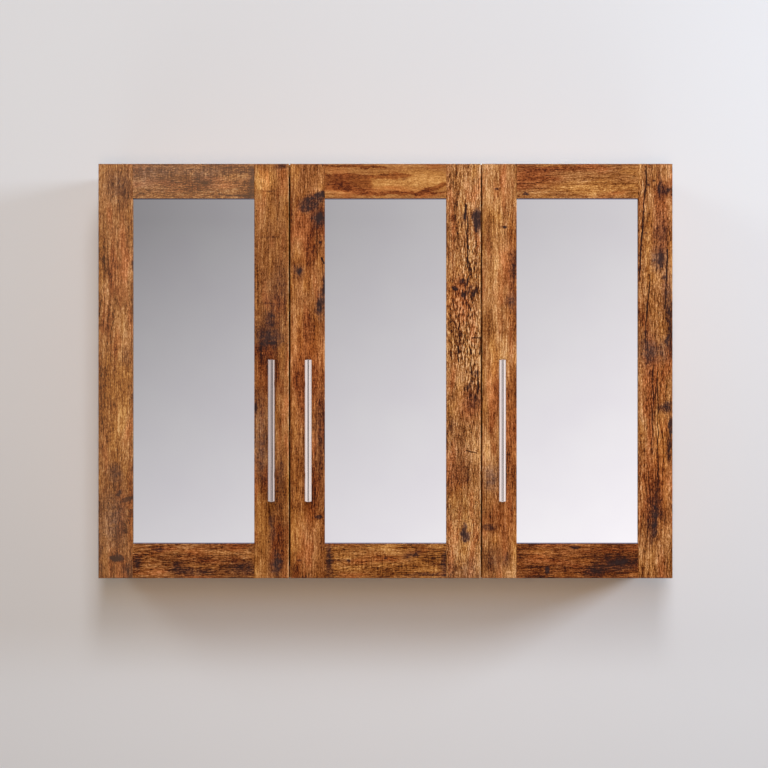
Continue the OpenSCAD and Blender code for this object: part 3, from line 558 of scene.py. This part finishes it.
# %% Dress the door frames
for board, looks in film.items():
    grain = "level" if board.endswith("rail") else "up"
    dress(board_film(f"film_{board}", grain=grain, **looks), board)

# %% [markdown]
# ## The case and its shelves
#
# The case behind the doors is cut from the same board. Nobody sees more of it than the sides and,
# with a door open, the inside, so it needs the same film with only a few stronger marks. The grain
# runs up the sides and along everything level. The back of the case and the sheets behind the
# mirrors are thin hardboard under a plainer print.

# %% Dress the case boards
case = {
    "left_side_panel": dict(face="side", seed=21, tone=0.50, marks=[
        ("knot", -96, -70, 9, 14, 0), ("crack", -60, -180, 1.5, 60, 2),
        ("burn", -30, -330, 8, 24, 0), ("bark", -100, -400, 24, 50, 0),
        ("knot", -52, -470, 6, 5, 0), ("red", -118, -250, 12, 60, 0),
    ]),
    "right_side_panel": dict(face="side", seed=22, tone=0.50, marks=[
        ("knot", -44, -110, 8, 12, 10), ("crack", -112, -300, 1.5, 70, -2),
        ("burn", -90, -460, 12, 20, 0), ("bark", -50, -330, 22, 60, 0),
        ("knot", -110, -40, 5, 8, 0), ("ochre", -70, -210, 16, 70, 0),
    ]),
    "partition_panel": dict(face="side", seed=23, tone=0.48, marks=[
        ("seam", -150, -243, 2, 500, 0), ("knot", -80, -90, 8, 12, 0),
        ("burn", -60, -400, 10, 26, 0),
    ]),
    "top_panel": dict(face="top", grain="level", seed=24, tone=0.61, marks=[
        ("knot", -180, -90, 14, 8, 0), ("burn", 120, -50, 26, 10, 0),
        ("crack", 250, -100, 60, 1.6, 2), ("bark", -20, -60, 50, 26, 0),
    ]),
    "bottom_panel": dict(face="top", grain="level", seed=25, tone=0.44, marks=[
        ("knot", 210, -70, 13, 8, 0), ("burn", -150, -100, 30, 10, 0),
        ("crack", -290, -50, 50, 1.5, -2),
    ]),
    "wide_shelf_upper": dict(face="top", grain="level", seed=26, tone=0.50, marks=[
        ("knot", -150, -90, 12, 7, 0),
    ]),
    "wide_shelf_lower": dict(face="top", grain="level", seed=27, tone=0.50, marks=[
        ("knot", -60, -60, 10, 7, 0),
    ]),
    "narrow_shelf_upper": dict(face="top", grain="level", seed=28, tone=0.50, marks=[
        ("burn", 260, -80, 20, 8, 0),
    ]),
    "narrow_shelf_lower": dict(face="top", grain="level", seed=29, tone=0.50, marks=[
        ("knot", 300, -70, 9, 6, 0),
    ]),
    "hanging_rail": dict(face="front", grain="level", seed=30, tone=0.46, marks=[
        ("burn", 60, 8, 30, 8, 0),
    ]),
}
for board, looks in case.items():
    dress(board_film(f"film_{board}", contrast=0.9, saw=0.25, **looks), board)

BACK_FILM_ENDS = -17.6  # millimetres, a little behind the inner face of the back panel
thin_print = dict(contrast=0.62, saw=0.2, specks=-0.2, figure=-0.03)
back_film = board_film("film_back_panel", tone=0.46, seed=41, bare_behind=BACK_FILM_ENDS, **thin_print)
dress(back_film, "back_panel")
for number, door in enumerate(("left", "middle", "right")):
    backing = board_film(f"film_{door}_backing_board", tone=0.42, seed=44 + number, **thin_print)
    dress(backing, f"{door}_backing_board")

# %% [markdown]
# ## The wall, the camera and the light
#
# The cabinet hangs on a smooth pale wall and is looked at straight on, through a long lens, from
# the height of its middle. The shadow on the wall tells where its lamps stand: it falls mostly
# below, cut off aslant at both ends, so there is a window far round on the right, a weak lamp on
# the left, and a tall one high in front. Two small lamps near the camera, a warm one at eye level
# and a cool one above it, fill the doors evenly without a shadow that the camera could see. Two
# more behind only serve the view from the back, and the floor glows as a bright room's would.

# %% Camera
CAMERA_PLACE = (-0.00205, -2.690, -0.2610)
camera_data = bpy.data.cameras.new("camera")
camera_data.lens = 85
camera_data.sensor_width = 36
camera = bpy.data.objects.new("camera", camera_data)
camera.location = CAMERA_PLACE
camera.rotation_euler = (math.radians(90), 0, 0)
bpy.context.scene.collection.objects.link(camera)
bpy.context.scene.camera = camera
bpy.context.scene.view_settings.view_transform = "Standard"
print("camera at", [round(v, 3) for v in camera.location])


# %% Wall and floor
def flat_sheet(name, corners, finish):
    mesh = bpy.data.meshes.new(name)
    mesh.from_pydata(corners, [], [(0, 1, 2, 3)])
    mesh.materials.append(finish)
    sheet = bpy.data.objects.new(name, mesh)
    bpy.context.scene.collection.objects.link(sheet)


def backdrop_paint(name, light, dark, seed, glow):
    """Matt paint that is only there for an eye in front of it, so the back view stays open.

    Glow is how much of the paint's colour the eye and the mirrors see without any lamp on it."""
    finish = Finish(name)
    whole, x, y, z = finish.place()
    cloud = finish.grain(whole, (700, 700, 700), 1.0, seed)
    paint = finish.blend(cloud, dark, light)
    front = finish.put("ShaderNodeBsdfDiffuse", {"Color": paint}).outputs[0]
    clear = finish.put("ShaderNodeBsdfTransparent", {}).outputs[0]
    behind = finish.put("ShaderNodeNewGeometry", {}).outputs["Backfacing"]
    path = finish.put("ShaderNodeLightPath", {}).outputs
    plain = finish.put("ShaderNodeEmission", {"Color": paint, "Strength": 1.0}).outputs[0]
    watched = finish.work("MAXIMUM", path["Is Camera Ray"], path["Is Glossy Ray"])
    watched = finish.work("MULTIPLY", finish.work("MAXIMUM", watched, path["Is Transmission Ray"]), glow)
    front = finish.put("ShaderNodeMixShader", {0: watched, 1: front, 2: plain}).outputs[0]
    unseen = finish.work("MAXIMUM", path["Is Shadow Ray"], path["Is Diffuse Ray"])
    unseen = finish.work("MAXIMUM", unseen, behind)
    mixed = finish.put("ShaderNodeMixShader", {0: unseen, 1: front, 2: clear}).outputs[0]
    finish.put("ShaderNodeOutputMaterial", {"Surface": mixed})
    finish.material.cycles.emission_sampling = "NONE"
    return finish.material


wall_paint = backdrop_paint("wall_paint", tint(229, 231, 233), tint(225, 227, 228), 3, 0.0)
floor_paint = backdrop_paint("floor_paint", tint(232, 229, 227), tint(228, 225, 222), 5, 0.85)
wall_corners = [(-4, 0.0015, -1.5), (4, 0.0015, -1.5), (4, 0.0015, 2.2), (-4, 0.0015, 2.2)]
floor_corners = [(-4, -5, -1.5), (4, -5, -1.5), (4, 0.0015, -1.5), (-4, 0.0015, -1.5)]
flat_sheet("wall", wall_corners, wall_paint)
flat_sheet("floor", floor_corners, floor_paint)
print("wall and floor set")


# %% Lamps
def soft_lamp(name, place, aim, size, watts, colour, in_mirrors):
    """A rectangle of light turned to its aim, which mirrors and steel show only if asked to."""
    data = bpy.data.lights.new(name, "AREA")
    data.shape = "RECTANGLE"
    data.size, data.size_y = size
    data.energy = watts
    data.color = colour
    lamp = bpy.data.objects.new(name, data)
    lamp.location = place
    way = Vector(aim) - Vector(place)
    lamp.rotation_euler = way.to_track_quat("-Z", "Y").to_euler()
    lamp.visible_camera = False
    lamp.visible_glossy = in_mirrors
    bpy.context.scene.collection.objects.link(lamp)
    print(f"{name}: {way.length:.2f} m away, {watts} W")


middle = (0, -0.1, -0.24)
cool = (0.74, 0.85, 1.0)
warm = (1.0, 0.65, 0.38)
lamps = [
    ("window_right", (2.20, -1.30, 0.40), (0.6, 0.6), 34, cool, False),
    ("front_high", (0.16, -2.74, 1.17), (0.5, 1.1), 27, (0.92, 0.94, 1.0), True),
    ("front_upper", (0.0, -3.20, 0.40), (0.3, 0.6), 15.5, cool, False),
    ("front_level", (0.0, -3.20, -0.26), (0.3, 0.8), 29, warm, False),
    ("left_high", (-1.80, -1.90, 1.00), (0.8, 0.8), 9.2, (0.96, 1.0, 0.98), True),
    ("behind_left", (-2.0, 2.2, 1.0), (1.6, 1.6), 58, (1.0, 0.93, 0.88), True),
    ("behind_right", (2.0, 2.2, 0.6), (1.6, 1.6), 50, cool, True),
]
for name, place, size, watts, colour, in_mirrors in lamps:
    soft_lamp(name, place, middle, size, watts, colour, in_mirrors)

# %% [markdown]
# ## The room that the mirrors and the steel see
#
# A mirror has no colour of its own: what gives the doors their soft grey fade is the room in
# front of them, dark at the upper left and bright at the lower right. The room is painted into the
# world as a gradient over direction, seen by reflections alone. Farther round, dark and bright
# upright bands give the round handles their lines. They lie in a narrow belt at the level of the
# eye, and above and below it the room is one soft grey, which is what a mirror seen aslant shows.

# %% The room
BELT_BELOW = 0.026  # how far the middle of the belt lies below the horizon, as a share of the way
BELT_HALF = 0.045
BELT_OUTSIDE = 0.11
world = bpy.data.worlds.new("room")
bpy.context.scene.world = world
world.use_nodes = True
room = Finish(tree=world.node_tree)
way = room.put("ShaderNodeTexCoord", {}).outputs["Generated"]
part = room.put("ShaderNodeSeparateXYZ", {"Vector": way}).outputs
ahead = room.work("MAXIMUM", room.work("MULTIPLY", part["Y"], -1), 0.05)
right = room.work("DIVIDE", part["X"], ahead)
up = room.work("DIVIDE", part["Z"], ahead)

# straight ahead: a grey fade between a low row and a high row, each brighter to the right
low_row = room.fit(right, -0.14, 0.14, 0.71, 1.10)
high_row = room.fit(right, -0.14, 0.14, 0.29, 0.745)
rise = room.fit(up, -0.09, 0.09)
gap = room.work("SUBTRACT", high_row, low_row)
glow = room.work("MULTIPLY_ADD", gap, rise, low_row)

# farther round: upright bands, kept to a belt at the level of the eye
turn = room.work("ARCTAN2", part["X"], room.work("MULTIPLY", part["Y"], -1))
turn = room.work("DEGREES", turn)
bands = [
    (-180, 0.50), (-110, 0.50), (-80, 1.10), (-50, 1.18), (-30, 0.92), (-18, 0.60),
    (-14, 0.16), (-9.6, 0.12), (9.6, 0.12), (10.5, 0.08), (34, 0.08), (44, 1.20),
    (70, 1.35), (100, 1.00), (125, 0.60), (180, 0.50),
]  # degrees to the right of straight ahead, and how bright the room is there
around = room.fit(turn, -180, 180)
side = room.ramp(around, [((a + 180) / 360, (v, v * 0.97, v * 0.96, 1)) for a, v in bands])
off_level = room.work("ABSOLUTE", room.work("ADD", part["Z"], BELT_BELOW))
level = room.fit(off_level, BELT_HALF, BELT_OUTSIDE, 1.0, 0.0, soft=True)
side = room.blend(level, (0.74, 0.72, 0.715, 1), side)
fade = room.fit(part["Z"], -0.10, 0.80, 1.0, 0.55)
side = room.vector("SCALE", side)
room.tree.links.new(fade, side.node.inputs["Scale"])

# both together for reflections, and what the room adds to the lamps, mostly from below
front = room.fit(room.work("ABSOLUTE", turn), 8.6, 9.6, 1, 0)
greens = room.work("MULTIPLY", glow, 0.965)
seen = room.put("ShaderNodeCombineColor", {"Red": glow, "Green": greens, "Blue": glow}).outputs[0]
seen = room.blend(front, side, seen)
path = room.put("ShaderNodeLightPath", {}).outputs
lift = room.fit(part["Z"], -0.95, -0.70, 1.25, 0.03, soft=True)
fill = room.put("ShaderNodeCombineColor", {"Red": lift, "Green": lift, "Blue": lift}).outputs[0]
look = room.blend(path["Is Glossy Ray"], fill, seen)
look = room.blend(path["Is Camera Ray"], look, tint(236, 234, 234))
back = room.put("ShaderNodeBackground", {"Color": look, "Strength": 1.0}).outputs[0]
room.put("ShaderNodeOutputWorld", {"Surface": back})
print("room set")

# %% [markdown]
# ## Silvered mirrors
#
# Silvered glass is a bright metal seen through clear glass. One metal surface with almost no
# roughness gives the same picture as the real pair and is far cheaper to trace. A breath of
# unevenness in its polish keeps it from being perfect, and a painted shade line, darker and a
# little blue, runs along the glass just inside the wooden frame.

# %% Mirror finish
def mirror_finish(door):
    """Silvered glass for one door, with a painted shade line just inside the wooden frame."""
    finish = Finish(f"silvered_glass_{door}")
    whole, x, y, z = finish.place()
    rail_low, rail_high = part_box(f"{door}_top_rail")
    left = rail_low.x * 1000
    right = rail_high.x * 1000
    top = rail_low.z * 1000
    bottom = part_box(f"{door}_bottom_rail")[1].z * 1000

    def past_edge(value, low, high):
        off_middle = finish.work("ABSOLUTE", finish.work("SUBTRACT", value, (low + high) / 2))
        return finish.work("SUBTRACT", off_middle, (high - low) / 2)

    near = finish.work("MAXIMUM", past_edge(x, left, right), past_edge(z, bottom, top))
    # painted shade: a dark bluish line over the last two millimetres of glass by the frame
    shade_line = finish.fit(near, -1.8, -0.9, soft=True)
    haze = finish.grain(whole, (90, 90, 90), 2.0, 4)
    rough = finish.fit(haze, 0.3, 0.7, 0.010, 0.022)
    silver = finish.ramp(haze, [(0.3, tint(237, 236, 238)), (0.7, tint(240, 240, 240))])
    # the glass turns to the bluish grey of that painted shade line
    silver = finish.blend(shade_line, silver, tint(150, 148, 166))
    print(f"{door} mirror shows from {left:.0f} to {right:.0f} mm")
    return finish.surface(Base_Color=silver, Metallic=1.0, Roughness=rough)


for door in ("left", "middle", "right"):
    dress(mirror_finish(door), f"{door}_mirror")


# %% [markdown]
# ## Steel, nickel, zinc, rubber and beech
#
# The handles are brushed steel bars, the hinges are nickel plated, and the screws are zinc. Each
# is a metal with its own grey and its own fine scratches: lengthwise on the bars, cloudy on the
# pressed parts. The little bumpers are grey rubber, and the dowels are fluted beech. The greys of
# the bars hold a painted reddish reflection of the brown boards round them, and the bar on the
# left door gets a darker copy of that steel as painted shade.

# %% Metal finishes
SCRATCH_DEPTH = 0.00002


def metal_finish(name, dark, light, size, low_rough, high_rough, seed):
    """A metal between two greys, its scratches as long and as wide as size says."""
    finish = Finish(name)
    whole, x, y, z = finish.place()
    marks = finish.grain(finish.join(z, x, y), size, 3.0, seed)
    colour = finish.ramp(marks, [(0.3, dark), (0.7, light)])
    rough = finish.fit(marks, 0.3, 0.7, low_rough, high_rough)
    normal = finish.bump(marks, 0.15, SCRATCH_DEPTH)
    return finish.surface(Base_Color=colour, Metallic=1.0, Roughness=rough, Normal=normal)


lengthwise = (40, 0.5, 0.5)
# painted reflection: the reddish greys of the bars stand for the brown boards they mirror
steel = metal_finish("brushed_steel", tint(222, 208, 203), tint(242, 229, 225), lengthwise, 0.10, 0.18, 2)
nickel = metal_finish("nickel_plate", tint(208, 205, 200), tint(228, 226, 222), (9, 9, 9), 0.34, 0.50, 3)
zinc = metal_finish("zinc_plate", tint(168, 170, 174), tint(204, 206, 210), (3, 3, 3), 0.32, 0.50, 4)
# painted shade: a darker copy of the steel, for the bar and posts of the left door
shaded = metal_finish("shaded_steel", tint(180, 165, 160), tint(204, 190, 186), lengthwise, 0.10, 0.18, 5)
for door in ("left", "middle", "right"):
    dress(shaded if door == "left" else steel, f"{door}_handle_bar", f"{door}_handle_posts")
    dress(nickel, f"{door}_hinge_cups")
    dress(zinc, f"{door}_handle_screws", f"{door}_cup_screws")
dress(nickel, "hinge_arms", "hinge_plates")
dress(zinc, "hinge_pins", "hinge_plate_screws", "hinge_arm_screws", "cam_locks", "cam_bolts",
      "partition_screws", "shelf_pins")


# %% Rubber, plastic and beech
def moulded_finish(name, dark, light, seed):
    """Rubber or plastic with the faint grain of its mould."""
    finish = Finish(name)
    whole, x, y, z = finish.place()
    dust = finish.grain(whole, (1.2, 1.2, 1.2), 2.0, seed)
    colour = finish.ramp(dust, [(0.3, dark), (0.7, light)])
    rough = finish.fit(dust, 0.3, 0.7, 0.70, 0.55)
    return finish.surface(Base_Color=colour, Roughness=rough, Normal=finish.bump(dust, 0.2, 0.0001))


def beech_finish():
    """Pale beech with short rays, for the dowels."""
    finish = Finish("beech")
    whole, x, y, z = finish.place()
    rays = finish.grain(finish.join(x, y, z), (14, 0.7, 0.7), 2.0, 9)
    colour = finish.ramp(rays, [(0.3, tint(186, 142, 98)), (0.7, tint(214, 176, 132))])
    return finish.surface(Base_Color=colour, Roughness=0.65, Normal=finish.bump(rays, 0.3, 0.0002))


dress(moulded_finish("grey_rubber", tint(150, 148, 146), tint(176, 174, 171), 8), "door_bumpers")
dress(beech_finish(), "dowels")

# %% [markdown]
# ## Wedges that hold the back
#
# The hardboard back sits loose in its place until small plastic wedges are knocked in behind it,
# one every few centimetres along the sides and the bottom. They could be copied by hand, but they
# follow a rule, so Geometry Nodes lay them out: one wedge is shaped from a block, three lines of
# points run along the three edges, and a copy lands on every point, turned to its edge. All sizes
# are named inputs of the tree, in metres, and changing one moves every wedge.

# %% Shape and lay out the wedges
back_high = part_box("back_panel")[1]
rail_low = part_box("hanging_rail")[0]
left_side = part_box("left_side_panel")[1]
floor_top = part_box("bottom_panel")[1]
wedge_sizes = {
    "Half width": -left_side.x,
    "Bottom": floor_top.z,
    "Top": rail_low.z,
    "Board face": back_high.y,
    "Length": 0.020,
    "Reach": 0.008,
    "Height": 0.0065,
    "Margin": 0.045,
    "Head radius": 0.0021,
    "Head depth": 0.0016,
}
wedge_counts = {"Count up": 5, "Count across": 8}
print({name: round(size, 4) for name, size in wedge_sizes.items()})


# %% The wedge tree
def wedge_tree(plastic):
    """Lays one wedge on every point of three lines: up both sides and along the bottom."""
    tree = bpy.data.node_groups.new("back_wedges", "GeometryNodeTree")
    tree.interface.new_socket("Wedges", in_out="OUTPUT", socket_type="NodeSocketGeometry")
    for name in wedge_sizes:
        tree.interface.new_socket(name, in_out="INPUT", socket_type="NodeSocketFloat")
    for name in wedge_counts:
        tree.interface.new_socket(name, in_out="INPUT", socket_type="NodeSocketInt")
    lay = Finish(tree=tree)
    size = lay.put("NodeGroupInput", {}).outputs

    def joined(parts):
        node = lay.put("GeometryNodeJoinGeometry", {})
        for part in parts:
            tree.links.new(part, node.inputs[0])
        return node.outputs[0]

    # one wedge: it lies along X, is thick at the case side and thins as it reaches along Z
    bulk = lay.join(size["Length"], size["Height"], size["Reach"])
    block = {"Size": bulk, "Vertices X": 4, "Vertices Y": 3, "Vertices Z": 4}
    block = lay.put("GeometryNodeMeshCube", block).outputs["Mesh"]
    here = lay.put("GeometryNodeInputPosition", {}).outputs[0]
    here = lay.put("ShaderNodeSeparateXYZ", {"Vector": here}).outputs
    inward = lay.work("ADD", lay.work("DIVIDE", here["Z"], size["Reach"]), 0.5)
    thin = lay.work("MULTIPLY_ADD", inward, -0.55, 1.0)
    lifted = lay.work("MULTIPLY", lay.work("MULTIPLY_ADD", size["Height"], 0.5, here["Y"]), thin)
    narrow = lay.work("MULTIPLY", here["X"], lay.work("MULTIPLY_ADD", inward, -0.30, 1.0))
    shape = lay.join(narrow, lifted, lay.work("MULTIPLY", inward, size["Reach"]))
    wedge = lay.put("GeometryNodeSetPosition", {"Geometry": block, "Position": shape}).outputs[0]
    rounded = {"Mesh": wedge, "Level": 1, "Edge Crease": 0.6}
    wedge = lay.put("GeometryNodeSubdivisionSurface", rounded).outputs[0]
    head = {"Vertices": 12, "Radius": size["Head radius"], "Depth": size["Head depth"]}
    head = lay.put("GeometryNodeMeshCylinder", head).outputs["Mesh"]
    seat_up = lay.work("MULTIPLY", size["Height"], 0.80)
    seat = lay.join(0.0, seat_up, lay.work("MULTIPLY", size["Reach"], 0.42))
    head = {"Geometry": head, "Translation": seat, "Rotation": (math.radians(90), 0, 0)}
    head = lay.put("GeometryNodeTransform", head).outputs[0]
    wedge = joined([wedge, head])

    # three lines of points, and how far a wedge turns on each
    low = lay.work("ADD", size["Bottom"], size["Margin"])
    high = lay.work("SUBTRACT", size["Top"], size["Margin"])
    left = lay.work("MULTIPLY", size["Half width"], -1.0)
    first = lay.work("ADD", left, size["Margin"])
    last = lay.work("MULTIPLY", first, -1.0)
    right = size["Half width"]
    bottom = size["Bottom"]
    runs = [
        ((left, low), (left, high), "Count up", 90),
        ((right, low), (right, high), "Count up", -90),
        ((first, bottom), (last, bottom), "Count across", 0),
    ]
    rows = []
    for start, end, count, turn in runs:
        start = lay.join(start[0], size["Board face"], start[1])
        end = lay.join(end[0], size["Board face"], end[1])
        line = {"Count": size[count], "Start Location": start, "Offset": end}
        line = lay.put("GeometryNodeMeshLine", line, mode="END_POINTS").outputs[0]
        copies = {"Points": line, "Instance": wedge, "Rotation": (0, math.radians(turn), 0)}
        rows.append(lay.put("GeometryNodeInstanceOnPoints", copies).outputs[0])
    solid = lay.put("GeometryNodeRealizeInstances", {"Geometry": joined(rows)}).outputs[0]
    solid = lay.put("GeometryNodeSetMaterial", {"Geometry": solid, "Material": plastic}).outputs[0]
    lay.put("NodeGroupOutput", {"Wedges": solid})
    return tree


# %% Turn the tree into one plain mesh
def mesh_from_tree(name, tree, values):
    """Runs a tree on an empty object and keeps the result as a mesh without a modifier."""
    maker = bpy.data.objects.new(f"{name}_maker", bpy.data.meshes.new(f"{name}_maker"))
    bpy.context.scene.collection.objects.link(maker)
    modifier = maker.modifiers.new("layout", "NODES")
    modifier.node_group = tree
    for item in tree.interface.items_tree:
        if item.in_out == "INPUT":
            modifier[item.identifier] = values[item.name]
    seen = maker.evaluated_get(bpy.context.evaluated_depsgraph_get())
    mesh = bpy.data.meshes.new_from_object(seen)
    bpy.data.objects.remove(maker)
    piece = bpy.data.objects.new(name, mesh)
    bpy.context.scene.collection.objects.link(piece)
    return piece


brown_plastic = moulded_finish("brown_plastic", tint(140, 104, 74), tint(164, 126, 92), 11)
wedges = mesh_from_tree("back_wedges", wedge_tree(brown_plastic), {**wedge_sizes, **wedge_counts})
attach(wedges, "cabinet")
print("back_wedges:", len(wedges.data.polygons), "faces")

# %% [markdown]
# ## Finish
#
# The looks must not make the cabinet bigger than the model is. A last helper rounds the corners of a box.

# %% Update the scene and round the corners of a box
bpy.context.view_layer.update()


def plain(box):
    return [[round(float(v), 6) for v in corner] for corner in box]
